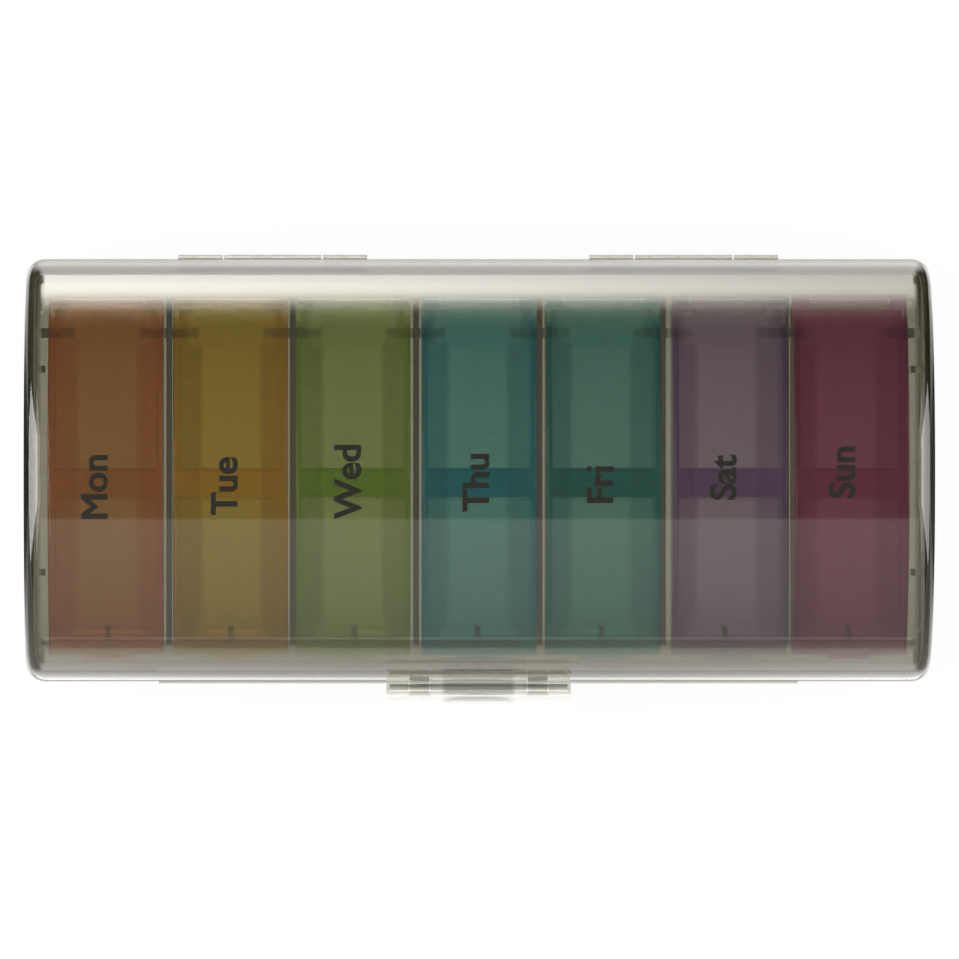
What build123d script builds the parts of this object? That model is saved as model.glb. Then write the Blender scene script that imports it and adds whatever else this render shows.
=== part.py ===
from build123d import *

import os
from math import acos, atan2, cos, degrees, radians, sin, sqrt, tan

# Weekly pill organizer: a hinged see-through case that holds seven day boxes of two pockets each.
# Frame: origin on the table under the middle of the case, +X along the row of days,
# +Y towards the case hinges, +Z up. Lengths are in millimetres and angles in degrees.

# Case shell
case_length = 184.0
case_depth = 86.0
case_height = 48.0
case_wall = 1.8
rim_height = 16.0
base_corner_radius = 11.0
dome_shoulder_radius = 20.0
case_end_radius = 4.0

# Locating tab inside the rim, beside the front band
tab_length = 5.5
tab_height = 1.8
tab_wall = 1.2
tab_fit = 0.2
tab_root = 3.0

# Case hinges
case_open_angle = 120.0
hinge_spacing = 83.6
hinge_length = 38.4
hinge_proud = 0.85
knuckle_radius = 1.8
base_knuckle_length = 9.0
knuckle_gap = 0.3
case_pin_radius = 0.8
case_pin_end_inset = 0.4
bevel_spare_angle = 1.5
bevel_inset = 0.2

# Fits of every pin: still in the piece that holds it, free in the piece that turns on it
pin_fixed_fit = 0.02
pin_running_fit = 0.05

# Front snap band and catch on the base
band_length = 130.0
band_height = 5.0
band_proud = 0.4
catch_length = 26.0
catch_height = 1.4
catch_proud = 0.7
catch_drop = 1.4
catch_bevel = 0.35

# Front latch
latch_width = 37.4
latch_axis_angle = 14.3
latch_barrel_radius = 1.6
latch_dome_gap = 0.35
latch_wall = 1.5
latch_drop = 11.0
latch_flare = 1.0
latch_lip_out = 1.0
latch_lip_drop = 1.2
latch_edge_radius = 0.4
latch_pin_radius = 0.7
latch_pin_end_inset = 0.6
lug_width = 4.0
lug_spacing = 24.0
lug_gap = 0.25
nose_height = 1.4
nose_drop = 0.3
nose_slope = 1.0
snap_clearance = 0.15
scoop_width = 14.4
scoop_depth = 0.7
scoop_top_drop = 2.6

# Day boxes in the case
day_names = ("mon", "tue", "wed", "thu", "fri", "sat", "sun")
day_shift_shares = (0.1, 0.2, -0.8, 0.1, -0.1, 0.9, -0.9)
row_end_gap = 2.0
box_side_play = 0.4
bay_rib_wall = 1.2
bay_rib_height = 3.0
heel_rib_wall = 2.0
heel_rib_length = 12.0
heel_rib_height = 4.0
heel_gap = 0.3
cradle_wall = 1.2
cradle_length = 6.3
cradle_gap = 0.3
end_rib_wall = 1.4
end_rib_depth = 2.0
end_rib_height = 9.0
end_rib_spacing = 41.4

# Day tray
tray_wall = 1.2
tray_slope_run = 5.2
tray_slope_rise = 8.0
tray_front_radius = 8.2
tray_rear_radius = 1.6
tray_front_gap = 5.0
tray_rear_gap = 7.6
heel_setback = 6.7
divider_width = 5.9
divider_offset = 3.0

# Day lid and its hinge
lid_dome_gap = 1.6
lid_wall = 1.3
lid_edge_radius = 0.5
lid_seat_gap = 0.2
day_hinge_back = 0.4
day_hinge_drop = 0.45
day_barrel_radius = 1.5
day_barrel_gap = 0.3
day_pin_radius = 0.6
day_pin_end_inset = 0.4
ear_width = 3.6
ear_gap = 0.25
ear_foot = 4.5
lid_rear_overhang = 0.6
lid_corner_gap = 1.6
skirt_gap = 0.3
skirt_wall = 1.1
skirt_drop = 4.5
finger_lip_length = 9.0
finger_lip_proud = 0.8
finger_lip_height = 1.2
plug_wall = 0.9
plug_depth = 1.6
plug_fit = 0.25
plug_end_gap = 1.5
plug_rear_gap = 3.0

# How far a cutting shape runs past what it cuts
overrun = 1.0

# Case outline: two shoulder arcs that meet a wide crown arc without a corner
half_depth = case_depth / 2
inner_length = case_length - 2 * case_wall
inner_half_depth = half_depth - case_wall
wall_middle = case_wall / 2
dome_rise = case_height - rim_height
shoulder_y = half_depth - dome_shoulder_radius
crown_radius = (shoulder_y**2 + dome_rise**2 - dome_shoulder_radius**2) / (
    2 * (dome_rise - dome_shoulder_radius)
)
crown_z = case_height - crown_radius
shoulder_turn = degrees(atan2(rim_height - crown_z, shoulder_y))

# Case hinge axis and the stretches of knuckle along it
hinge_y = half_depth + hinge_proud - knuckle_radius
hinge_centres = (-hinge_spacing / 2, hinge_spacing / 2)
lid_knuckle_length = hinge_length - 2 * (base_knuckle_length + knuckle_gap)
base_knuckle_shift = (hinge_length - base_knuckle_length) / 2
bevel_slope = tan(radians(case_open_angle / 2 + bevel_spare_angle))

# Latch axis, set out from the shoulder arc on the front
latch_reach = dome_shoulder_radius + latch_barrel_radius + latch_dome_gap
latch_y = -(shoulder_y + latch_reach * cos(radians(latch_axis_angle)))
latch_z = rim_height + latch_reach * sin(radians(latch_axis_angle))
catch_top = rim_height - catch_drop
catch_face_y = -(half_depth + band_proud + catch_proud)

# Day box pitch, width, levels and ends
day_pitch = (inner_length - 2 * row_end_gap) / len(day_names)
tray_width = day_pitch - bay_rib_wall - 2 * box_side_play
box_bottom = case_wall
tray_front = -(inner_half_depth - tray_front_gap)
tray_rear = inner_half_depth - tray_rear_gap
front_curve_y = tray_front + tray_front_radius
front_curve_z = box_bottom + tray_front_radius
heel_y = tray_rear - heel_setback
heel_top = box_bottom + heel_rib_height + heel_gap
divider_rear = divider_width / 2 - divider_offset
divider_front = divider_rear - divider_width
lid_outer_radius = crown_radius - case_wall - lid_dome_gap
lid_inner_radius = lid_outer_radius - lid_wall
tray_rim_radius = lid_inner_radius - lid_seat_gap
middle_day = (len(day_names) - 1) / 2


def arch_height(radius, y):
    """Height of an arc about the crown's centre, at a place from front to rear."""
    return crown_z + sqrt(radius**2 - y**2)


def arch_arc(radius, front, rear):
    """Arc about the crown's centre from the rear place over the top to the front place."""
    start = degrees(acos(rear / radius))
    return CenterArc((0, crown_z), radius, start, degrees(acos(front / radius)) - start)


def arch_band(x, outer, inner, front, rear):
    """Upright face at x between two arcs about the crown's centre."""
    with BuildSketch(Plane.YZ.offset(x)) as band:
        with BuildLine():
            upper = arch_arc(outer, front, rear)
            lower = arch_arc(inner, front, rear)
            Line(upper @ 0, lower @ 0)
            Line(upper @ 1, lower @ 1)
        make_face()
    return band.sketch


def rod(radius, length, x, y, z):
    """Round bar along X in the part being built, for a pin or a knuckle."""
    with Locations((x, y, z)):
        Cylinder(radius, length, rotation=(0, 90, 0))


def bore(radius, length, x, y, z):
    """Round hole along X in the part being built."""
    with Locations((x, y, z)):
        Cylinder(radius, length, rotation=(0, 90, 0), mode=Mode.SUBTRACT)


def block(low, high, mode=Mode.ADD):
    """Box between two corners in the part being built."""
    sides = [b - a for a, b in zip(low, high)]
    with Locations(tuple((a + b) / 2 for a, b in zip(low, high))):
        Box(*sides, mode=mode)


def case_body(inset):
    """The closed case as one solid, with its surface moved in by inset."""
    corner_y = half_depth - base_corner_radius
    with BuildPart() as body:
        with BuildSketch(Plane.YZ.offset(inset - case_length / 2)):
            with BuildLine():
                Line((0, inset), (corner_y, inset))
                CenterArc((corner_y, base_corner_radius), base_corner_radius - inset, -90, 90)
                Line((half_depth - inset, base_corner_radius), (half_depth - inset, rim_height))
                CenterArc((shoulder_y, rim_height), dome_shoulder_radius - inset, 0, shoulder_turn)
                CenterArc((0, crown_z), crown_radius - inset, shoulder_turn, 90 - shoulder_turn)
                mirror(about=Plane.YZ)
            make_face()
        extrude(amount=case_length - 2 * inset)
        fillet(body.faces().filter_by(Axis.X).edges(), radius=case_end_radius - inset)
    return body.part


outer_body = case_body(0)
inner_body = case_body(case_wall)
middle_body = case_body(wall_middle)


def rear_bevel(side):
    """Wedge behind the hinge line, above or below the rim, that the rims need to turn."""
    reach = half_depth + overrun - hinge_y
    with BuildSketch(Plane.YZ.offset(-case_length / 2)) as wedge:
        with BuildLine():
            Polyline(
                (hinge_y - bevel_inset, rim_height),
                (hinge_y + reach, rim_height),
                (hinge_y + reach, rim_height + side * bevel_slope * (reach + bevel_inset)),
                close=True,
            )
        make_face()
    return wedge.sketch


# Ribs that stand on the base's floor and hold the day boxes in place
with BuildPart() as base_ribs:
    for place in range(len(day_names) + 1):
        gap_x = (place - 1 / 2 - middle_day) * day_pitch
        block(
            (gap_x - heel_rib_length / 2, heel_y + heel_gap, wall_middle),
            (gap_x + heel_rib_length / 2, heel_y + heel_gap + heel_rib_wall, case_wall + heel_rib_height),
        )
    for place in range(len(day_names) - 1):
        rib_x = (place + 1 / 2 - middle_day) * day_pitch
        block(
            (rib_x - bay_rib_wall / 2, -half_depth, wall_middle),
            (rib_x + bay_rib_wall / 2, half_depth, case_wall + bay_rib_height),
        )
    with Locations(
        (case_length / 2, end_rib_spacing / 2, 0),
        (case_length / 2, -end_rib_spacing / 2, 0),
        (-case_length / 2, end_rib_spacing / 2, 0),
        (-case_length / 2, -end_rib_spacing / 2, 0),
    ):
        Box(
            2 * (case_wall + end_rib_depth),
            end_rib_wall,
            case_wall + end_rib_height,
            align=(Align.CENTER, Align.CENTER, Align.MIN),
        )
    add(middle_body, mode=Mode.INTERSECT)

with BuildPart() as cradle_ribs:
    for place in range(len(day_names)):
        rib_x = (place - middle_day) * day_pitch
        block(
            (rib_x - cradle_wall / 2, front_curve_y - cradle_gap - cradle_length, wall_middle),
            (rib_x + cradle_wall / 2, front_curve_y - cradle_gap, front_curve_z),
        )
    add(middle_body, mode=Mode.INTERSECT)
    bore(tray_front_radius + cradle_gap, case_length, 0, front_curve_y, front_curve_z)

with BuildPart() as case_base:
    add(outer_body)
    add(inner_body, mode=Mode.SUBTRACT)
    split(bisect_by=Plane.XY.offset(rim_height), keep=Keep.BOTTOM)
    add(base_ribs.part)
    add(cradle_ribs.part)
    # Tab: a root on the wall, and a thinner tongue that stands up inside the lid
    tab_inner_y = -(inner_half_depth - tab_fit - tab_wall)
    for root_y, top in (
        (-(inner_half_depth + wall_middle), rim_height),
        (-(inner_half_depth - tab_fit), rim_height + tab_height),
    ):
        block(
            (-band_length / 2 - tab_length, root_y, rim_height - tab_root),
            (-band_length / 2, tab_inner_y, top),
        )
    extrude(rear_bevel(-1), amount=case_length, mode=Mode.SUBTRACT)
    # Snap band and catch on the front wall
    block(
        (-band_length / 2, -(half_depth + band_proud), rim_height - band_height),
        (band_length / 2, -(half_depth - wall_middle), rim_height),
    )
    with BuildSketch(Plane.YZ.offset(-catch_length / 2)):
        with BuildLine():
            Polyline(
                (-half_depth, catch_top),
                (catch_face_y, catch_top - catch_bevel),
                (catch_face_y, catch_top - catch_height + catch_bevel),
                (-half_depth, catch_top - catch_height),
                close=True,
            )
        make_face()
    extrude(amount=catch_length)
    # Hinge knuckles, with room for the lid's knuckle between them
    for centre in hinge_centres:
        bore(
            knuckle_radius + knuckle_gap,
            lid_knuckle_length + 2 * knuckle_gap,
            centre,
            hinge_y,
            rim_height,
        )
        for shift in (-base_knuckle_shift, base_knuckle_shift):
            rod(knuckle_radius, base_knuckle_length, centre + shift, hinge_y, rim_height)
        bore(case_pin_radius + pin_fixed_fit, hinge_length, centre, hinge_y, rim_height)

with BuildPart() as case_lid:
    add(outer_body)
    add(inner_body, mode=Mode.SUBTRACT)
    split(bisect_by=Plane.XY.offset(rim_height), keep=Keep.TOP)
    extrude(rear_bevel(1), amount=case_length, mode=Mode.SUBTRACT)
    # Hinge knuckles, with room for the base's knuckles beside them
    for centre in hinge_centres:
        for shift in (-base_knuckle_shift, base_knuckle_shift):
            bore(
                knuckle_radius + knuckle_gap,
                base_knuckle_length + 2 * knuckle_gap,
                centre + shift,
                hinge_y,
                rim_height,
            )
        rod(knuckle_radius, lid_knuckle_length, centre, hinge_y, rim_height)
        bore(case_pin_radius + pin_running_fit, hinge_length, centre, hinge_y, rim_height)
    # Lugs that carry the latch
    lug_length = latch_barrel_radius + latch_dome_gap + wall_middle
    lug_mid = latch_reach - lug_length / 2
    for x in (-lug_spacing / 2, lug_spacing / 2):
        with BuildSketch(Plane.YZ.offset(x - lug_width / 2)):
            with Locations((latch_y, latch_z)):
                Circle(latch_barrel_radius)
            with Locations(
                (
                    -(shoulder_y + lug_mid * cos(radians(latch_axis_angle))),
                    rim_height + lug_mid * sin(radians(latch_axis_angle)),
                )
            ):
                Rectangle(lug_length, 2 * latch_barrel_radius, rotation=-latch_axis_angle)
        extrude(amount=lug_width)
    bore(latch_pin_radius + pin_fixed_fit, latch_width, 0, latch_y, latch_z)

# Latch flap: barrel, flared plate, turned-out lip, and a nose that snaps under the catch
plate_outer_y = latch_y - latch_barrel_radius
plate_foot_z = latch_z - latch_drop
nose_top_z = catch_top - catch_height - nose_drop
nose_tip_y = catch_face_y - snap_clearance
lip_run = sqrt(latch_lip_out**2 + latch_lip_drop**2)
lip_tip_y = plate_outer_y - latch_flare - latch_lip_out
lip_tip_z = plate_foot_z - latch_lip_drop
scoop_radius = (scoop_width**2 / 4 + scoop_depth**2) / (2 * scoop_depth)
flare_share = latch_flare / latch_drop


def plate_inner_y(z):
    """Inner face of the latch's plate at a height."""
    return plate_outer_y + latch_wall - flare_share * (latch_z - z)


with BuildPart() as front_latch:
    with BuildSketch(Plane.YZ.offset(-latch_width / 2)) as flap:
        with BuildLine():
            Polyline(
                (plate_outer_y, latch_z),
                (plate_outer_y - latch_flare, plate_foot_z),
                (lip_tip_y, lip_tip_z),
                (
                    lip_tip_y + latch_wall * latch_lip_drop / lip_run,
                    lip_tip_z - latch_wall * latch_lip_out / lip_run,
                ),
                (plate_inner_y(plate_foot_z), plate_foot_z - latch_edge_radius),
                (plate_outer_y + latch_wall, latch_z),
                close=True,
            )
        make_face()
        fillet(flap.vertices(), radius=latch_edge_radius)
        with Locations((latch_y, latch_z)):
            Circle(latch_barrel_radius)
    extrude(amount=latch_width)
    # Nose along the middle of the plate
    with BuildSketch(Plane.YZ.offset(-catch_length / 2)):
        nose_foot_z = nose_top_z - nose_height
        with BuildLine():
            Polyline(
                (plate_inner_y(nose_top_z + nose_slope) - latch_edge_radius, nose_top_z + nose_slope),
                (nose_tip_y, nose_top_z),
                (nose_tip_y, nose_foot_z),
                (plate_inner_y(nose_foot_z - nose_slope) - latch_edge_radius, nose_foot_z - nose_slope),
                close=True,
            )
        make_face()
    extrude(amount=catch_length)
    # Thumb scoop down the middle of the plate
    scoop_plane = Plane(
        origin=(0, plate_outer_y - flare_share * scoop_top_drop, latch_z - scoop_top_drop),
        x_dir=(1, 0, 0),
        z_dir=(0, -flare_share, -1),
    )
    with BuildSketch(scoop_plane):
        with Locations((0, scoop_radius - scoop_depth)):
            Circle(scoop_radius)
    extrude(amount=latch_drop - scoop_top_drop, mode=Mode.SUBTRACT)
    for x in (-lug_spacing / 2, lug_spacing / 2):
        bore(latch_barrel_radius + lug_gap, lug_width + 2 * lug_gap, x, latch_y, latch_z)
    bore(latch_pin_radius + pin_running_fit, latch_width, 0, latch_y, latch_z)

with BuildPart() as latch_pin:
    rod(latch_pin_radius, latch_width - 2 * latch_pin_end_inset, 0, latch_y, latch_z)

# Day box forms, made once about X = 0
day_hinge_y = tray_rear + day_hinge_back
day_hinge_z = arch_height(lid_inner_radius, day_hinge_y) - day_hinge_drop
day_barrel_length = tray_width - 2 * (ear_width + ear_gap)
ear_shift = (tray_width - ear_width) / 2


def trough(inset):
    """Solid as long as a tray whose section has an open top and sloped lower corners, moved in by inset."""
    slope = atan2(tray_slope_rise, tray_slope_run)
    side_x = tray_width / 2 - inset
    foot_x = tray_width / 2 - tray_slope_run - inset * tan(slope / 2)
    slope_top = box_bottom + tray_slope_rise + inset * (1 - sin(slope)) / cos(slope)
    with BuildPart() as form:
        with BuildSketch(Plane.XZ.offset(-tray_rear)):
            with BuildLine():
                Polyline(
                    (0, box_bottom + inset),
                    (foot_x, box_bottom + inset),
                    (side_x, slope_top),
                    (side_x, case_height),
                    (0, case_height),
                )
                mirror(about=Plane.YZ)
            make_face()
        extrude(amount=tray_rear - tray_front)
    return form.part


def tray_side(inset, front, rear):
    """Side view of a tray, or of a pocket in it, cut to one stretch from front to rear."""
    rear_foot = heel_top + tray_rear_radius
    with BuildSketch(Plane.YZ.offset(-tray_width / 2)) as side:
        with BuildLine():
            Line((front_curve_y, box_bottom + inset), (heel_y - inset, box_bottom + inset))
            Line((heel_y - inset, box_bottom + inset), (heel_y - inset, heel_top + inset))
            Line((heel_y - inset, heel_top + inset), (tray_rear - tray_rear_radius, heel_top + inset))
            CenterArc((tray_rear - tray_rear_radius, rear_foot), tray_rear_radius - inset, -90, 90)
            Line((tray_rear - inset, rear_foot), (tray_rear - inset, case_height))
            Line((tray_rear - inset, case_height), (tray_front + inset, case_height))
            Line((tray_front + inset, case_height), (tray_front + inset, front_curve_z))
            CenterArc((front_curve_y, front_curve_z), tray_front_radius - inset, 180, 90)
        make_face()
        with Locations(((front + rear) / 2, case_height / 2)):
            Rectangle(rear - front, case_height, mode=Mode.INTERSECT)
    return side.sketch


with BuildPart() as pockets:
    for front, rear in ((tray_front, divider_front), (divider_rear, tray_rear)):
        extrude(tray_side(tray_wall, front, rear), amount=tray_width)
    add(trough(tray_wall), mode=Mode.INTERSECT)

with BuildPart() as tray_form:
    extrude(tray_side(0, tray_front, tray_rear), amount=tray_width)
    with Locations((0, 0, crown_z)):
        Cylinder(tray_rim_radius, tray_width, rotation=(0, 90, 0), mode=Mode.INTERSECT)
    add(trough(0), mode=Mode.INTERSECT)
    add(pockets.part, mode=Mode.SUBTRACT)
    # Hinge ears on the rear wall, with room for the lid's barrel between them
    notch_length = day_barrel_length + 2 * ear_gap
    bore(day_barrel_radius + day_barrel_gap, notch_length, 0, day_hinge_y, day_hinge_z)
    block(
        (-notch_length / 2, tray_rear - tray_wall, day_hinge_z),
        (notch_length / 2, tray_rear + overrun, case_height),
        mode=Mode.SUBTRACT,
    )
    for x in (-ear_shift, ear_shift):
        with BuildSketch(Plane.YZ.offset(x - ear_width / 2)):
            with Locations((day_hinge_y, day_hinge_z)):
                Circle(day_barrel_radius)
            with Locations((tray_rear - tray_wall / 2, day_hinge_z - ear_foot / 2)):
                Rectangle(tray_wall, ear_foot)
            make_hull()
        extrude(amount=ear_width)
    bore(day_pin_radius + pin_fixed_fit, tray_width, 0, day_hinge_y, day_hinge_z)

skirt_rear = tray_front - skirt_gap
skirt_front = skirt_rear - skirt_wall
skirt_foot = arch_height(lid_inner_radius, skirt_rear) - skirt_drop
lid_rear = day_hinge_y + lid_rear_overhang
plug_face = tray_width / 2 - tray_wall - plug_fit

with BuildPart() as lid_form:
    shell = arch_band(-tray_width / 2, lid_outer_radius, lid_inner_radius, skirt_front, lid_rear)
    extrude(shell, amount=tray_width)
    rims = lid_form.edges().filter_by(GeomType.CIRCLE).sort_by(lambda edge: edge.radius)[-2:]
    fillet(rims, radius=lid_edge_radius)
    with BuildSketch(Plane.YZ.offset(-tray_width / 2)):
        with BuildLine():
            Polyline(
                (skirt_front, arch_height(lid_inner_radius, skirt_front) + lid_wall / 2),
                (skirt_front, skirt_foot),
                (skirt_rear, skirt_foot),
                (skirt_rear, arch_height(lid_inner_radius, skirt_rear) + lid_wall / 2),
                close=True,
            )
        make_face()
    extrude(amount=tray_width)
    # Lip under the front edge, to lift the lid by
    block(
        (-finger_lip_length / 2, skirt_front - finger_lip_proud, skirt_foot),
        (finger_lip_length / 2, skirt_rear, skirt_foot + finger_lip_height),
    )
    # Plug ribs just inside the tray's side walls, broken at the divider
    for x in (-plug_face, plug_face - plug_wall):
        for front, rear in (
            (tray_front + tray_wall + plug_end_gap, divider_front - plug_end_gap),
            (divider_rear + plug_end_gap, tray_rear - tray_wall - plug_rear_gap),
        ):
            plug_top = lid_inner_radius + lid_wall / 2
            rib = arch_band(x, plug_top, lid_inner_radius - plug_depth, front, rear)
            extrude(rib, amount=plug_wall)
    # Rear corners cut back round the tray's ears, and the barrel between them
    corner_front = day_hinge_y - day_barrel_radius - lid_corner_gap
    for x in (-tray_width / 2, tray_width / 2 - ear_width - ear_gap):
        block(
            (x, corner_front, 0),
            (x + ear_width + ear_gap, lid_rear + overrun, case_height),
            mode=Mode.SUBTRACT,
        )
    rod(day_barrel_radius, day_barrel_length, 0, day_hinge_y, day_hinge_z)
    bore(day_pin_radius + pin_running_fit, tray_width, 0, day_hinge_y, day_hinge_z)

with BuildPart() as pin_form:
    rod(day_pin_radius, tray_width - 2 * day_pin_end_inset, 0, day_hinge_y, day_hinge_z)

# Finished pieces, one file each
os.makedirs("parts", exist_ok=True)


def finish(piece, name):
    """Labels one finished piece and writes it."""
    piece.label = name
    export_step(piece, f"parts/{name}.step")


finish(case_base.part, "case_base")
finish(case_lid.part, "case_lid")
finish(front_latch.part, "front_latch")
finish(latch_pin.part, "latch_pin")

for side, centre in zip(("left", "right"), hinge_centres):
    with BuildPart() as case_hinge_pin:
        rod(case_pin_radius, hinge_length - 2 * case_pin_end_inset, centre, hinge_y, rim_height)
    finish(case_hinge_pin.part, f"case_hinge_pin_{side}")

for place, day in enumerate(day_names):
    day_x = (place - middle_day) * day_pitch + day_shift_shares[place] * box_side_play
    for kind, form in (("tray", tray_form), ("lid", lid_form), ("hinge_pin", pin_form)):
        with BuildPart() as day_piece:
            with Locations((day_x, 0, 0)):
                add(form.part)
        finish(day_piece.part, f"{day}_{kind}")
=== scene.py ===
import math

import bmesh
import bpy
from mathutils import Matrix, Vector


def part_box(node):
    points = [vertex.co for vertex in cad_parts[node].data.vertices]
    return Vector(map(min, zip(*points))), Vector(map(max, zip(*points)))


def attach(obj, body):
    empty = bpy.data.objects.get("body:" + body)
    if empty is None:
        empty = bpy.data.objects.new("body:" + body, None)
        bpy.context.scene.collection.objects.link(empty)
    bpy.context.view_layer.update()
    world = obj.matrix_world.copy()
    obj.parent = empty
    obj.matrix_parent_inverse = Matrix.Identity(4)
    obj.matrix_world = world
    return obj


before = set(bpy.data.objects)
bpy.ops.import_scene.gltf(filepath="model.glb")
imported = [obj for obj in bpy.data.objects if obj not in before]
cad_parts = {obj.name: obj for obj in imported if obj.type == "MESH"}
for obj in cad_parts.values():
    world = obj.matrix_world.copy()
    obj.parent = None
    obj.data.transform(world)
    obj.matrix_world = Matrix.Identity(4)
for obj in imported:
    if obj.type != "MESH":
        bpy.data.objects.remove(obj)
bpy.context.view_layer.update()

bl_info = {
    "name": "Weekly pill organizer",
    "version": (1, 0, 0),
    "blender": (4, 5, 0),
    "location": "View3D > Sidebar > Pill organizer",
    "description": "Finishes the case, the day boxes and their printed names, and sets the stage",
    "category": "Object",
}

MM = 0.001

# The photograph's width, and what one of its pixels covers at the level of the rim
IMAGE_PIXELS = 959
PIXEL_WIDTH = 0.2035 * MM

# Spacing of the day boxes, and the outer radius of the arch of their lids
DAY_PITCH = 25.2 * MM
DAY_LID_ARCH = 44.6417 * MM

# How far faces that touch are parted, so that light passes between them
AIR_GAP = 0.03 * MM

PLASTIC_IOR = 1.49
WHITE = (1.0, 1.0, 1.0)
CARD_LIGHT = (1.0, 0.98, 0.95)

# Reflected cards lie a little above the floor, and fade out just past the case's ends
CARD_LEVEL = 1.0 * MM
CARD_WIDTH = 1.2
FLAG_LEVEL = 1.5 * MM
CASE_END = 92.0 * MM
PAST_END = 106.0 * MM

DAYS = ("mon", "tue", "wed", "thu", "fri", "sat", "sun")

# Plastic of each day box: share of red, green and blue light that one millimetre lets through
DAY_TINTS = {
    "mon": (0.934, 0.711, 0.471),
    "tue": (0.985, 0.867, 0.404),
    "wed": (0.864, 0.931, 0.648),
    "thu": (0.604, 0.899, 0.933),
    "fri": (0.604, 0.875, 0.878),
    "sat": (0.848, 0.761, 0.896),
    "sun": (0.816, 0.461, 0.639),
}

# Share of each tint that grows with the length of plastic looked through
DAY_DEPTHS = {
    "mon": 0.03,
    "tue": 0.06,
    "wed": 0.12,
    "thu": 0.16,
    "fri": 0.16,
    "sat": 0.11,
    "sun": 0.03,
}

# Painted shade on walls seen edge-on: the share of light left where the plastic is looked along
DAY_PAINTED_EDGE_LIGHT = {
    "mon": 0.95,
    "tue": 0.55,
    "wed": 0.60,
    "thu": 0.65,
    "fri": 0.70,
    "sat": 0.70,
    "sun": 0.95,
}

# Where each name is printed, in millimetres: off the lid's middle line towards -X,
# and along it from the crown
NAME_PLACES = {
    "mon": (1.9, -4.0),
    "tue": (0.9, -3.7),
    "wed": (0.8, -2.7),
    "thu": (0.5, -2.9),
    "fri": (0.5, -3.5),
    "sat": (1.3, -2.1),
    "sun": (1.8, -0.9),
}


class CaseFinish(bpy.types.PropertyGroup):
    """Smoke-grey plastic of the case."""

    tint: bpy.props.FloatVectorProperty(
        name="Smoke tint",
        description="Share of red, green and blue light that comes through one millimetre",
        default=(0.670, 0.664, 0.607),
        subtype="COLOR",
        min=0.0,
        max=1.0,
    )
    wall: bpy.props.FloatProperty(
        name="Wall",
        description="Thickness that the tint is set for",
        default=1.8 * MM,
        unit="LENGTH",
    )
    depth_share: bpy.props.FloatProperty(
        name="Depth share",
        description="Part of the tint that grows with the length of plastic looked through",
        default=0.12,
        subtype="FACTOR",
    )
    edge: bpy.props.FloatProperty(
        name="Edge",
        description="How many times deeper the tint is where the plastic is looked along",
        default=5.0,
    )
    haze: bpy.props.FloatProperty(
        name="Haze",
        description="Part of the light that the plastic scatters",
        default=0.006,
        subtype="FACTOR",
    )
    roughness: bpy.props.FloatProperty(
        name="Roughness", description="Polish of the mould", default=0.04, subtype="FACTOR"
    )


class LatchFinish(bpy.types.PropertyGroup):
    """Thin smoke-grey plastic of the latch."""

    tint: bpy.props.FloatVectorProperty(
        name="Smoke tint",
        description="Share of red, green and blue light that comes through one millimetre",
        default=(0.85, 0.847, 0.815),
        subtype="COLOR",
        min=0.0,
        max=1.0,
    )
    wall: bpy.props.FloatProperty(
        name="Wall",
        description="Thickness that the tint is set for",
        default=1.5 * MM,
        unit="LENGTH",
    )
    depth_share: bpy.props.FloatProperty(
        name="Depth share",
        description="Part of the tint that grows with the length of plastic looked through",
        default=0.10,
        subtype="FACTOR",
    )
    edge: bpy.props.FloatProperty(
        name="Edge",
        description="How many times deeper the tint is where the plastic is looked along",
        default=2.0,
    )
    haze: bpy.props.FloatProperty(
        name="Haze",
        description="Part of the light that the plastic scatters",
        default=0.03,
        subtype="FACTOR",
    )
    roughness: bpy.props.FloatProperty(
        name="Roughness", description="Polish of the mould", default=0.06, subtype="FACTOR"
    )


class DayFinish(bpy.types.PropertyGroup):
    """Tinted plastic of the day boxes."""

    wall: bpy.props.FloatProperty(
        name="Wall",
        description="Thickness that the tints are set for",
        default=1.25 * MM,
        unit="LENGTH",
    )
    edge: bpy.props.FloatProperty(
        name="Edge",
        description="How many times deeper the tint is where the plastic is looked along",
        default=6.0,
    )
    haze: bpy.props.FloatProperty(
        name="Haze",
        description="Part of the light that the plastic scatters",
        default=0.008,
        subtype="FACTOR",
    )
    roughness: bpy.props.FloatProperty(
        name="Roughness", description="Polish of the mould", default=0.10, subtype="FACTOR"
    )


class NamePrint(bpy.types.PropertyGroup):
    """Day names printed on the lids."""

    size: bpy.props.FloatProperty(
        name="Letter size",
        description="Type size of the names",
        default=7.4 * MM,
        unit="LENGTH",
    )
    weight: bpy.props.FloatProperty(
        name="Stroke weight",
        description="How far each stroke is fattened",
        default=0.21 * MM,
        unit="LENGTH",
    )
    dot_rise: bpy.props.FloatProperty(
        name="Dot rise",
        description="How far a dot is raised off its fattened letter",
        default=0.45 * MM,
        unit="LENGTH",
    )
    ink_depth: bpy.props.FloatProperty(
        name="Ink depth",
        description="Thickness of the print",
        default=0.06 * MM,
        unit="LENGTH",
    )
    bend_step: bpy.props.FloatProperty(
        name="Bend step",
        description="Spacing of the cuts that let letters bend",
        default=1.0 * MM,
        unit="LENGTH",
    )
    ink: bpy.props.FloatVectorProperty(
        name="Ink",
        description="Colour of the print",
        default=(0.022, 0.022, 0.021),
        subtype="COLOR",
    )


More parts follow.
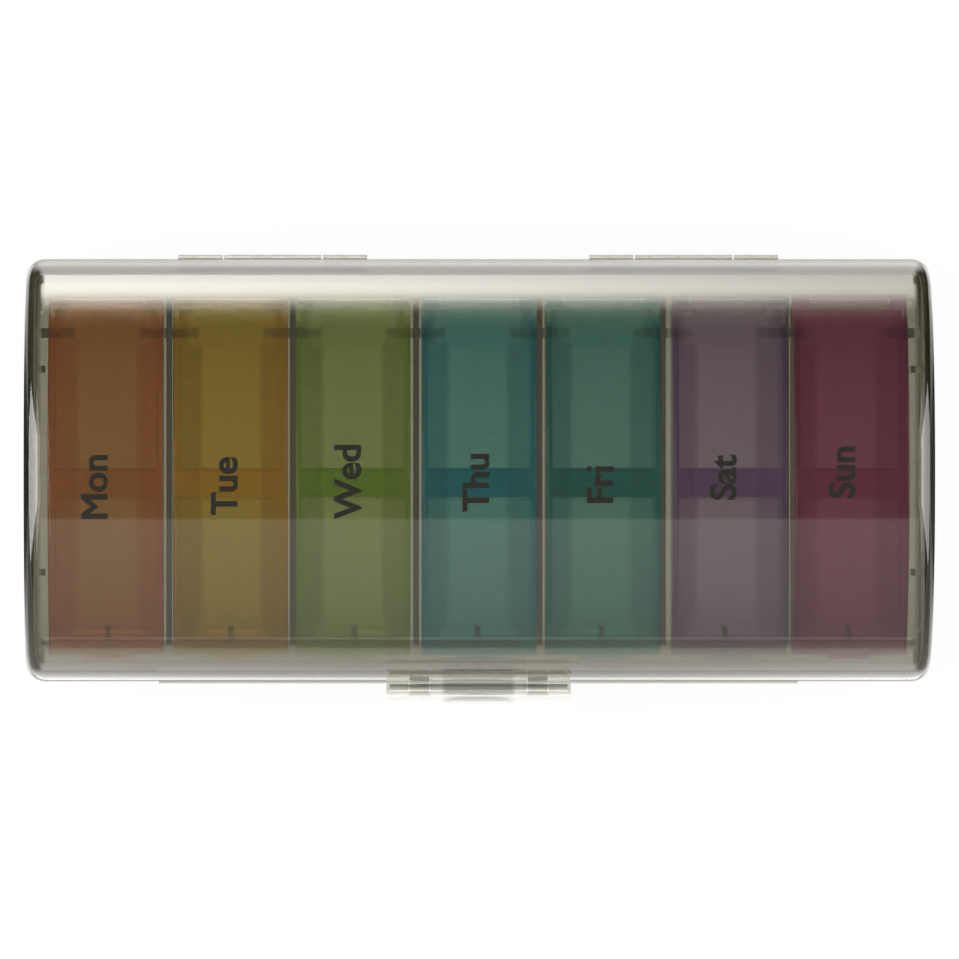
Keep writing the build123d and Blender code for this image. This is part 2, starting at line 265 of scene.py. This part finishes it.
class Studio(bpy.types.PropertyGroup):
    """Camera and floor."""

    aim: bpy.props.FloatVectorProperty(
        name="Aim",
        description="Point at the middle of the picture",
        default=(0.25 * MM, -1.9 * MM, 16.0 * MM),
        subtype="TRANSLATION",
    )
    distance: bpy.props.FloatProperty(
        name="Camera distance",
        description="From the aim to the lens",
        default=3.4,
        unit="LENGTH",
    )
    lean_left: bpy.props.FloatProperty(
        name="Lean left",
        description="How far the camera stands towards -X from straight above",
        default=math.radians(0.5),
        subtype="ANGLE",
    )
    lean_front: bpy.props.FloatProperty(
        name="Lean front",
        description="How far the camera stands towards -Y from straight above",
        default=math.radians(1.0),
        subtype="ANGLE",
    )
    picture_width: bpy.props.FloatProperty(
        name="Picture width",
        description="Width that the picture covers at the aim",
        default=IMAGE_PIXELS * PIXEL_WIDTH,
        unit="LENGTH",
    )
    floor_size: bpy.props.FloatProperty(
        name="Floor size", description="Side of the floor", default=30.0, unit="LENGTH"
    )
    floor_gap: bpy.props.FloatProperty(
        name="Floor gap", description="Gap under the case", default=0.2 * MM, unit="LENGTH"
    )


class Value:
    """A number in a material's nodes, with Python's operators as Math nodes."""

    def __init__(self, nodes, socket):
        self.nodes = nodes
        self.socket = socket

    def math(self, operation, first, second):
        return self.nodes.make("ShaderNodeMath", {"operation": operation}, {0: first, 1: second})

    def __add__(self, other):
        return self.math("ADD", self, other)

    def __radd__(self, other):
        return self.math("ADD", other, self)

    def __sub__(self, other):
        return self.math("SUBTRACT", self, other)

    def __rsub__(self, other):
        return self.math("SUBTRACT", other, self)

    def __mul__(self, other):
        return self.math("MULTIPLY", self, other)

    def __rmul__(self, other):
        return self.math("MULTIPLY", other, self)

    def __truediv__(self, other):
        return self.math("DIVIDE", self, other)

    def __rtruediv__(self, other):
        return self.math("DIVIDE", other, self)

    def __pow__(self, other):
        return self.math("POWER", self, other)

    def at_most(self, other):
        return self.math("MINIMUM", self, other)

    def rise(self, low, high, bottom=0.0, top=1.0):
        """Goes smoothly from bottom to top as the value goes from low to high."""
        return self.nodes.make(
            "ShaderNodeMapRange",
            {"interpolation_type": "SMOOTHSTEP"},
            {"Value": self, "From Min": low, "From Max": high, "To Min": bottom, "To Max": top},
        )

    def within(self, near, far):
        """1 up to one distance from the middle, and 0 beyond another."""
        return self.rise(-far, -near) * self.rise(near, far, 1.0, 0.0)


class Nodes:
    """The nodes of one material or of the world."""

    def __init__(self, owner):
        owner.use_nodes = True
        self.tree = owner.node_tree
        self.tree.nodes.clear()

    def make(self, kind, settings=None, sockets=None, out=0):
        """Adds one node, sets it, fills its sockets and returns one of its outputs."""
        node = self.tree.nodes.new(kind)
        for key, value in (settings or {}).items():
            setattr(node, key, value)
        for key, value in (sockets or {}).items():
            if isinstance(value, Value):
                self.tree.links.new(value.socket, node.inputs[key])
            else:
                node.inputs[key].default_value = value
        return Value(self, node.outputs[out]) if node.outputs else None

    def place(self):
        """The piece's own coordinates."""
        return self.make("ShaderNodeTexCoord", out="Object")

    def along(self, axis):
        """One of the piece's own coordinates."""
        return self.make("ShaderNodeSeparateXYZ", None, {0: self.place()}, out=axis)

    def noise(self, scale, detail=2.0, stretch=(1.0, 1.0, 1.0)):
        """Noise on the piece's own coordinates, scale in features per metre."""
        turned = self.make("ShaderNodeMapping", None, {"Vector": self.place(), "Scale": stretch})
        return self.make(
            "ShaderNodeTexNoise", None, {"Vector": turned, "Scale": scale, "Detail": detail}
        )

    def blend(self, share, first, second):
        """Colour between two colours, or past the second where the share is over 1."""
        return self.make(
            "ShaderNodeMix",
            {"data_type": "RGBA", "clamp_factor": False},
            {0: share, 6: (*first, 1.0), 7: (*second, 1.0)},
            out=2,
        )

    def mix(self, share, first, second):
        """Shader between two shaders."""
        return self.make("ShaderNodeMixShader", None, {0: share, 1: first, 2: second})

    def pane(self, colour):
        """Clear shader that tints what is seen through it."""
        return self.make("ShaderNodeBsdfTransparent", None, {"Color": (*colour, 1.0)})

    def bump(self, strength, distance, height):
        """Normal of a surface that is uneven by a distance."""
        return self.make(
            "ShaderNodeBump", None, {"Strength": strength, "Distance": distance, "Height": height}
        )

    def ray(self, kind):
        """1 for rays of one kind."""
        return self.make("ShaderNodeLightPath", out=kind)


def new_material(name):
    """A fresh material and its nodes."""
    material = bpy.data.materials.new(name)
    return material, Nodes(material)


def clear_plastic(name, tint, depth_share, painted_edge_light, look, scale, painted_light_and_shade=None):
    """See-through moulded plastic: tinted, deeper where looked along, with painted shade on walls
    seen edge-on and any painted light and shade laid on by place, a little hazy, glossy.
    """
    material, nodes = new_material(name)
    loss = [-math.log(share) / MM for share in tint]
    face = [math.exp(-part * look.wall * (1 - depth_share) / 2) for part in loss]
    flow = nodes.noise(scale, 2.0, (0.4, 1.0, 1.0))
    scuff = nodes.noise(900.0, 2.0, (1.0, 0.15, 1.0))
    ripple = nodes.noise(70.0, 1.0)
    normal = nodes.bump(1.0, 0.003 * MM, ripple)
    facing = nodes.make(
        "ShaderNodeLayerWeight", None, {"Blend": 0.5, "Normal": normal}, out="Facing"
    )
    window = nodes.pane(face)
    # Tint deepened where the plastic is looked along, times the painted edge light: painted shade
    # on walls seen edge-on
    slant = nodes.pane([painted_edge_light * part**look.edge for part in face])
    pane = nodes.mix((facing / (3.0 - facing * 3.0)).at_most(1.0), window, slant)
    # Painted light and shade laid on by place, where the piece has any
    if painted_light_and_shade:
        pane = painted_light_and_shade(nodes, pane)
    pale = tuple(0.5 + 0.5 * part for part in tint)
    cloud = nodes.make(
        "ShaderNodeBsdfPrincipled",
        None,
        {
            "Base Color": nodes.blend(flow, tint, pale),
            "Roughness": 0.5 + scuff * 0.2,
            "IOR": PLASTIC_IOR,
        },
    )
    inside = nodes.mix(look.haze * (0.6 + flow * 0.8), pane, cloud)
    gloss = nodes.make(
        "ShaderNodeBsdfAnisotropic",
        {"distribution": "GGX"},
        {
            "Color": (*WHITE, 1.0),
            "Roughness": look.roughness + scuff * 0.04,
            "Normal": normal,
        },
    )
    surface = nodes.mix(0.04 + facing**5.0 * 0.9, inside, gloss)
    lit = nodes.mix(nodes.ray("Is Shadow Ray"), surface, window)
    deep = [part * depth_share for part in loss]
    density = max(deep)
    body = nodes.make(
        "ShaderNodeVolumeAbsorption",
        None,
        {"Color": (*[1 - part / density for part in deep], 1.0), "Density": density},
    )
    nodes.make("ShaderNodeOutputMaterial", None, {"Surface": lit, "Volume": body})
    return material


def paint_rib_shade_and_light(nodes, pane):
    """Paints shade on the ribs inside the case as a darker pane, and paints light at the latch and
    the snap band as a clearer pane.
    """
    aside, across, up = nodes.along("X"), nodes.along("Y"), nodes.along("Z")
    above = up.rise(2.1 * MM, 2.5 * MM) * up.rise(12.0 * MM, 13.0 * MM, 1.0, 0.0)
    # Painted shade: a dark pane laid over the ribs, full on the thin ribs and weaker on the heel
    # ribs
    rib_painted_shade = nodes.pane((0.20, 0.19, 0.15))
    off_middle = aside.math("PINGPONG", aside, DAY_PITCH / 2)
    bay = off_middle.rise(0.7 * MM, 0.9 * MM, 1.0, 0.0) + off_middle.rise(11.6 * MM, 11.9 * MM)
    shade = above * across.within(35.0 * MM, 36.0 * MM) * (0.35 + bay * 0.65)
    pane = nodes.mix(shade, pane, rib_painted_shade)
    # Painted light: a clear pane laid over the plastic at the latch and the snap band
    painted_light_pane = nodes.pane(WHITE)
    painted_light_share = 0.75
    latch = aside.within(18.5 * MM, 19.0 * MM) * across.rise(-41.5 * MM, -40.3 * MM, painted_light_share, 0.0)
    band = aside.within(65.0 * MM, 65.5 * MM) * across.rise(-43.1 * MM, -42.8 * MM, painted_light_share, 0.0)
    return nodes.mix((latch + band).at_most(painted_light_share), pane, painted_light_pane)


def paint_scoop_shade_and_light(nodes, pane):
    """Paints shade in the latch's scoop as a darker pane, and paints light at the barrel's rear and
    the lip as a clearer pane.
    """
    aside, across = nodes.along("X"), nodes.along("Y")
    # Painted shade: a darker pane laid over the scoop
    scoop = nodes.pane((0.70, 0.70, 0.67))
    pane = nodes.mix(aside.within(6.4 * MM, 7.8 * MM), pane, scoop)
    # Painted light: a clear pane laid over the plastic at the lip and the barrel's rear
    painted_light_pane = nodes.pane(WHITE)
    lip = across.rise(-47.4 * MM, -46.0 * MM, 0.9, 0.0)
    barrel = across.rise(-43.4 * MM, -42.8 * MM, 0.0, 0.8)
    return nodes.mix(lip + barrel, pane, painted_light_pane)


def pin_steel():
    """Drawn steel wire, with fine marks along it."""
    material, nodes = new_material("pin_steel")
    marks = nodes.noise(2500.0, 4.0, (0.05, 1.0, 1.0))
    colour = nodes.blend(marks, (0.74, 0.74, 0.72), (0.86, 0.86, 0.84))
    normal = nodes.bump(0.3, 0.01 * MM, marks)
    surface = nodes.make(
        "ShaderNodeBsdfPrincipled",
        None,
        {"Base Color": colour, "Metallic": 1.0, "Roughness": 0.38 + marks * 0.15, "Normal": normal},
    )
    nodes.make("ShaderNodeOutputMaterial", None, {"Surface": surface})
    return material


def name_ink(ink):
    """Dark screen-print ink with a slightly uneven film."""
    material, nodes = new_material("name_ink")
    film = nodes.noise(1800.0, 5.0)
    colour = nodes.blend(film, ink, [2.2 * part for part in ink])
    normal = nodes.bump(0.2, 0.01 * MM, film)
    surface = nodes.make(
        "ShaderNodeBsdfPrincipled",
        None,
        {"Base Color": colour, "Roughness": 0.45 + film * 0.2, "Normal": normal},
    )
    nodes.make("ShaderNodeOutputMaterial", None, {"Surface": surface})
    return material


def floor_paper():
    """White paper sweep that the camera, reflections and clear plastic all see as white."""
    material, nodes = new_material("floor_paper")
    colour = nodes.blend(nodes.noise(400.0, 5.0), (0.84, 0.84, 0.84), (0.88, 0.88, 0.88))
    paper = nodes.make("ShaderNodeBsdfDiffuse", None, {"Color": colour})
    glow = nodes.make("ShaderNodeEmission", None, {"Color": (*WHITE, 1.0), "Strength": 1.0})
    behind = nodes.ray("Is Glossy Ray") + nodes.ray("Is Transmission Ray")
    seen = (nodes.ray("Is Camera Ray") * 0.92 + behind).at_most(1.0)
    nodes.make("ShaderNodeOutputMaterial", None, {"Surface": nodes.mix(seen, paper, glow)})
    return material


def card_light(name, strength):
    """Lit card: strength takes the card's nodes and gives its brightness."""
    material, nodes = new_material(name)
    colour = nodes.blend(strength(nodes), (0.0, 0.0, 0.0), CARD_LIGHT)
    glow = nodes.make("ShaderNodeEmission", None, {"Color": colour, "Strength": 1.0})
    nodes.make("ShaderNodeOutputMaterial", None, {"Surface": glow})
    material.cycles.emission_sampling = "NONE"
    return material


def dress(node, material):
    """Gives a CAD node its finish."""
    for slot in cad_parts[node].material_slots:
        slot.material = material


def lift(node, height):
    """Parts a node's faces from those it rests on, so that light passes between them."""
    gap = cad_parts[node].modifiers.new("air_gap", "DISPLACE")
    gap.direction = "Z"
    gap.mid_level = 0.0
    gap.strength = height


def link(name, data):
    """Puts finished data into the scene."""
    piece = bpy.data.objects.new(name, data)
    bpy.context.scene.collection.objects.link(piece)
    return piece


def card_mesh(name, low, high, width):
    """Flat card between the middles of its low and high edges, spread along X."""
    work = bmesh.new()
    across = Vector((width / 2, 0, 0))
    low, high = Vector(low), Vector(high)
    corners = [low - across, low + across, high + across, high - across]
    work.faces.new([work.verts.new(corner) for corner in corners])
    mesh = bpy.data.meshes.new(name)
    work.to_mesh(mesh)
    work.free()
    return mesh


def panel_lamp(name, low, high, across, width, radiance):
    """Even lamp between the middles of its low and high edges, which faces the object unseen."""
    low, high = Vector(low), Vector(high)
    lamp = bpy.data.lights.new(name, "AREA")
    lamp.shape = "RECTANGLE"
    lamp.size = width
    lamp.size_y = (high - low).length
    lamp.energy = radiance * math.pi * lamp.size * lamp.size_y
    piece = link(name, lamp)
    up = (high - low).normalized()
    side = Vector(across)
    back = side.cross(up)
    if back.dot((low + high) / 2) < 0:
        side, back = -side, -back
    facing = Matrix((side, up, back)).transposed().to_4x4()
    piece.matrix_world = Matrix.Translation((low + high) / 2) @ facing
    piece.visible_camera = False


class PILLBOX_OT_finish_case(bpy.types.Operator):
    """Gives the case and its lid their smoke-grey plastic."""

    bl_idname = "pillbox.finish_case"
    bl_label = "Finish the case"

    def execute(self, context):
        look = context.scene.pillbox_case
        # The case's plastic carries painted shade on its ribs and painted light at the latch and
        # the snap band
        smoke = clear_plastic(
            "smoke_plastic", look.tint, look.depth_share, 1.0, look, 25.0, paint_rib_shade_and_light
        )
        for node in ("case_base", "case_lid"):
            dress(node, smoke)
        lift("case_lid", AIR_GAP)
        return {"FINISHED"}


class PILLBOX_OT_finish_latch(bpy.types.Operator):
    """Gives the latch its smoke-grey plastic."""

    bl_idname = "pillbox.finish_latch"
    bl_label = "Finish the latch"

    def execute(self, context):
        look = context.scene.pillbox_latch
        # The latch's plastic carries painted shade in its scoop and painted light at the lip and
        # the barrel's rear
        tinted = clear_plastic(
            "latch_plastic", look.tint, look.depth_share, 1.0, look, 60.0, paint_scoop_shade_and_light
        )
        dress("front_latch", tinted)
        return {"FINISHED"}


class PILLBOX_OT_finish_day_boxes(bpy.types.Operator):
    """Gives each day's tray and lid its own tint."""

    bl_idname = "pillbox.finish_day_boxes"
    bl_label = "Finish the day boxes"

    def execute(self, context):
        look = context.scene.pillbox_days
        for day in DAYS:
            # Each day's painted edge light darkens its walls seen edge-on: painted shade
            tinted = clear_plastic(
                f"{day}_plastic", DAY_TINTS[day], DAY_DEPTHS[day], DAY_PAINTED_EDGE_LIGHT[day], look, 60.0
            )
            dress(f"{day}_tray", tinted)
            dress(f"{day}_lid", tinted)
            lift(f"{day}_tray", AIR_GAP)
            lift(f"{day}_lid", 2 * AIR_GAP)
        return {"FINISHED"}


class PILLBOX_OT_finish_pins(bpy.types.Operator):
    """Gives the hinge and latch pins their steel."""

    bl_idname = "pillbox.finish_pins"
    bl_label = "Finish the pins"

    def execute(self, context):
        steel = pin_steel()
        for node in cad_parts:
            if "pin" in node.split("_"):
                dress(node, steel)
        return {"FINISHED"}


class PILLBOX_OT_print_names(bpy.types.Operator):
    """Prints each day's name along its lid."""

    bl_idname = "pillbox.print_names"
    bl_label = "Print the day names"

    def execute(self, context):
        look = context.scene.pillbox_names
        ink = name_ink(look.ink)
        for day in DAYS:
            low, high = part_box(f"{day}_lid")
            middle = (low.x + high.x) / 2
            aside, along = NAME_PLACES[day]
            piece = link(f"{day}_name", self.lettering(day.title(), look))
            self.bend(piece.data, high.z, middle - aside * MM, along * MM, look)
            piece.data.materials.append(ink)
            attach(piece, f"{day}_lid")
        return {"FINISHED"}

    def lettering(self, word, look):
        """Flat letters as a thin solid, centred on the origin and read along X."""
        curve = bpy.data.curves.new(f"{word}_letters", "FONT")
        curve.body = word
        curve.size = look.size
        curve.bevel_depth = look.weight
        curve.bevel_resolution = 0
        curve.align_x = "CENTER"
        curve.align_y = "CENTER"
        holder = link(f"{word}_letters", curve)
        bpy.context.view_layer.update()
        mesh = bpy.data.meshes.new_from_object(holder)
        bpy.data.objects.remove(holder)
        bpy.data.curves.remove(curve)
        return mesh

    def islands(self, work):
        """Each joined-up set of vertices."""
        left = set(work.verts)
        while left:
            found = [left.pop()]
            for vert in found:
                near = {edge.other_vert(vert) for edge in vert.link_edges} & left
                left -= near
                found.extend(near)
            yield found

    def bend(self, mesh, crown, across, along, look):
        """Turns the letters to read along +Y and lays them on the lid's arch."""
        radius = DAY_LID_ARCH
        work = bmesh.new()
        work.from_mesh(mesh)
        bmesh.ops.remove_doubles(work, verts=work.verts, dist=0.001 * MM)
        for island in self.islands(work):
            if min(vert.co.y for vert in island) > look.size * 0.1:
                bmesh.ops.translate(work, verts=island, vec=(0, look.dot_rise, 0))
        reach = max(abs(vert.co.x) for vert in work.verts)
        cuts = int(reach / look.bend_step)
        for cut in range(-cuts, cuts + 1):
            parts = work.verts[:] + work.edges[:] + work.faces[:]
            bmesh.ops.bisect_plane(
                work, geom=parts, plane_co=(cut * look.bend_step, 0, 0), plane_no=(1, 0, 0)
            )
        flat = look.ink_depth / (2 * look.weight)
        for vert in work.verts:
            turn = (vert.co.x + along) / radius
            level = radius + look.ink_depth * 1.75 + vert.co.z * flat
            height = crown - radius + level * math.cos(turn)
            vert.co = Vector((across - vert.co.y, level * math.sin(turn), height))
        bmesh.ops.recalc_face_normals(work, faces=work.faces)
        work.to_mesh(mesh)
        work.free()


class PILLBOX_OT_set_stage(bpy.types.Operator):
    """Sets the floor, lamps, backdrop and camera."""

    bl_idname = "pillbox.set_stage"
    bl_label = "Set the stage"

    def execute(self, context):
        studio = context.scene.pillbox_studio
        self.floor(studio)
        self.cards()
        self.lamps()
        self.world(context.scene)
        self.camera(context.scene, studio)
        self.light_paths(context.scene)
        return {"FINISHED"}

    def floor(self, studio):
        work = bmesh.new()
        bmesh.ops.create_grid(work, x_segments=1, y_segments=1, size=studio.floor_size / 2)
        bmesh.ops.translate(work, verts=work.verts, vec=(0, 0, -studio.floor_gap))
        mesh = bpy.data.meshes.new("floor")
        work.to_mesh(mesh)
        work.free()
        mesh.materials.append(floor_paper())
        link("floor", mesh)

    def cards(self):
        """Cards that only reflections show: the light bands and dark ends on the case."""

        def wane(nodes):
            """The rear light weakens from left to right."""
            return nodes.along("X").rise(-0.10, 0.14, 13.8, 6.2)

        def rear(nodes):
            along, aside = nodes.along("Y"), nodes.along("X")
            near = along.rise(0.046, 0.064, 0.9, 4.0) * along.rise(0.08, 0.135, 1.0, 0.0)
            band = along.rise(0.08, 0.135) * wane(nodes)
            return (near + band) * aside.within(CASE_END, PAST_END)

        def backdrop(nodes):
            band = nodes.along("Z").rise(0.010, 0.048, 1.0, 0.0) * wane(nodes)
            return band * nodes.along("X").within(0.10, 0.125)

        def front(nodes):
            along, aside = nodes.along("Y"), nodes.along("X")
            far = 0.6 + along.rise(-0.30, -0.08, 0.0, 2.2) * aside.within(CASE_END, PAST_END)
            ends = (aside * aside * 30.0).at_most(0.2)
            return far * (1.0 + ends) * along.rise(-0.06, -0.048, 1.0, 1.1)

        def flag(nodes):
            along = nodes.along("Y")
            back = along.rise(0.02, 0.042, 0.0, 1.6)
            return 0.03 + back + along.rise(-0.042, -0.02, 1.6, 0.0)

        def lying(aside, start, stop, level=CARD_LEVEL):
            """Middles of the two edges of a card that lies flat."""
            return (aside, start, level), (aside, stop, level)

        upright = (0, 0.14, CARD_LEVEL), (0, 0.14, 0.048)
        for name, (low, high), width, strength in (
            ("rear_card", lying(0, 0.046, 0.14), CARD_WIDTH, rear),
            ("backdrop_card", upright, CARD_WIDTH, backdrop),
            ("front_card", lying(0, -0.05, -1.1), CARD_WIDTH, front),
            ("left_flag", lying(-0.29, -0.05, 0.05, FLAG_LEVEL), 0.39, flag),
            ("right_flag", lying(0.29, -0.05, 0.05, FLAG_LEVEL), 0.39, flag),
        ):
            mesh = card_mesh(name, low, high, width)
            mesh.materials.append(card_light(name, strength))
            card = link(name, mesh)
            card.visible_camera = False
            card.visible_diffuse = False
            card.visible_shadow = False
            card.visible_transmission = False

    def lamps(self):
        """Two upright boxes beside the object, and a wide leaning panel in front of it."""
        for name, aside, radiance in (("left_box", -0.8, 8.4), ("right_box", 0.8, 6.0)):
            panel_lamp(name, (aside, 0.0, 0.0), (aside, 0.0, 1.1), (0, 1, 0), 0.7, radiance)
        panel_lamp("front_panel", (0.0, -1.1, 0.0), (0.0, -0.442, 1.0), (1, 0, 0), 2.4, 0.6)

    def world(self, scene):
        world = bpy.data.worlds.new("studio")
        scene.world = world
        nodes = Nodes(world)
        dim, bright = (
            nodes.make("ShaderNodeBackground", None, {"Color": (*WHITE, 1.0), "Strength": strength})
            for strength in (0.12, 1.0)
        )
        seen = nodes.mix(nodes.ray("Is Camera Ray"), dim, bright)
        nodes.make("ShaderNodeOutputWorld", None, {"Surface": seen})

    def camera(self, scene, studio):
        lens = bpy.data.cameras.new("camera")
        lens.sensor_width = 36.0
        lens.lens = lens.sensor_width * studio.distance / studio.picture_width
        lens.clip_start = 0.01
        lens.clip_end = 100.0
        camera = link("camera", lens)
        away = Vector((-math.tan(studio.lean_left), -math.tan(studio.lean_front), 1.0)).normalized()
        camera.location = Vector(studio.aim) + away * studio.distance
        level = (Vector((1, 0, 0)) - away * away.x).normalized()
        camera.rotation_euler = Matrix((level, away.cross(level), away)).transposed().to_euler()
        scene.camera = camera

    def light_paths(self, scene):
        scene.view_settings.view_transform = "Standard"
        paths = scene.cycles
        paths.max_bounces = 8
        paths.transparent_max_bounces = 96
        paths.glossy_bounces = 3
        paths.diffuse_bounces = 1
        paths.transmission_bounces = 2
        paths.sample_clamp_indirect = 3.0
        paths.light_sampling_threshold = 0.05


class PILLBOX_PT_panel(bpy.types.Panel):
    """Lists the steps of the model."""

    bl_label = "Pill organizer"
    bl_idname = "PILLBOX_PT_panel"
    bl_space_type = "VIEW_3D"
    bl_region_type = "UI"
    bl_category = "Pill organizer"

    def draw(self, context):
        for step in STEPS:
            self.layout.operator(step.bl_idname)


STEPS = (
    PILLBOX_OT_finish_case,
    PILLBOX_OT_finish_latch,
    PILLBOX_OT_finish_day_boxes,
    PILLBOX_OT_finish_pins,
    PILLBOX_OT_print_names,
    PILLBOX_OT_set_stage,
)

GROUPS = {
    "pillbox_case": CaseFinish,
    "pillbox_latch": LatchFinish,
    "pillbox_days": DayFinish,
    "pillbox_names": NamePrint,
    "pillbox_studio": Studio,
}


def register():
    for group in GROUPS.values():
        bpy.utils.register_class(group)
    for name, group in GROUPS.items():
        setattr(bpy.types.Scene, name, bpy.props.PointerProperty(type=group))
    for step in (*STEPS, PILLBOX_PT_panel):
        bpy.utils.register_class(step)


def unregister():
    for step in (PILLBOX_PT_panel, *reversed(STEPS)):
        bpy.utils.unregister_class(step)
    for name in GROUPS:
        delattr(bpy.types.Scene, name)
    for group in GROUPS.values():
        bpy.utils.unregister_class(group)


def main():
    register()
    for step in STEPS:
        space, name = step.bl_idname.split(".")
        getattr(getattr(bpy.ops, space), name)()


if __name__ == "__main__":
    main()
